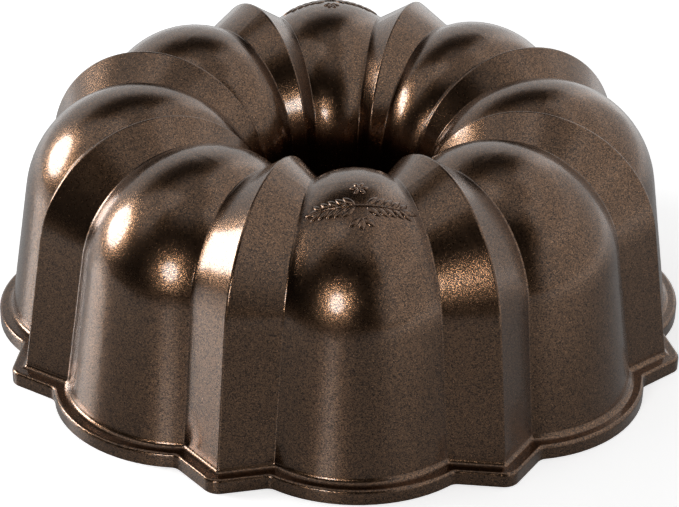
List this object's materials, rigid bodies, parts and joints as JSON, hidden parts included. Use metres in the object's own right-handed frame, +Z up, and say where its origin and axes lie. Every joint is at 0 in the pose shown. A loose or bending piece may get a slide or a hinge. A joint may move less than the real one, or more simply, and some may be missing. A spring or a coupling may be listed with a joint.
{
  "type": "fluted ring cake pan",
  "caption": "Cast fluted ring cake pan with a centre tube, standing crown up on its rim flange, for baking ring cakes.",
  "frame": {"origin": "on the pan's axis, in the plane of the rim's bottom face, which is what the pan stands on crown up", "axes": "+Z up along the axis from the rim to the crown; lobes lie on the X and Y axes, and -Y is the front"},
  "size_m": [0.267, 0.267, 0.097],
  "materials": {
    "bare_casting": "as cast, lightly blasted, seen only at the edges",
    "bronze_coat": "dark bronze metal-flake coat, semi-gloss",
    "nonstick": "dark satin non-stick lining"
  },
  "bodies": {
    "root": {"pan_casting": "bare_casting", "outer_coating": "bronze_coat", "nonstick_lining": "nonstick"}
  },
  "joints": []
}
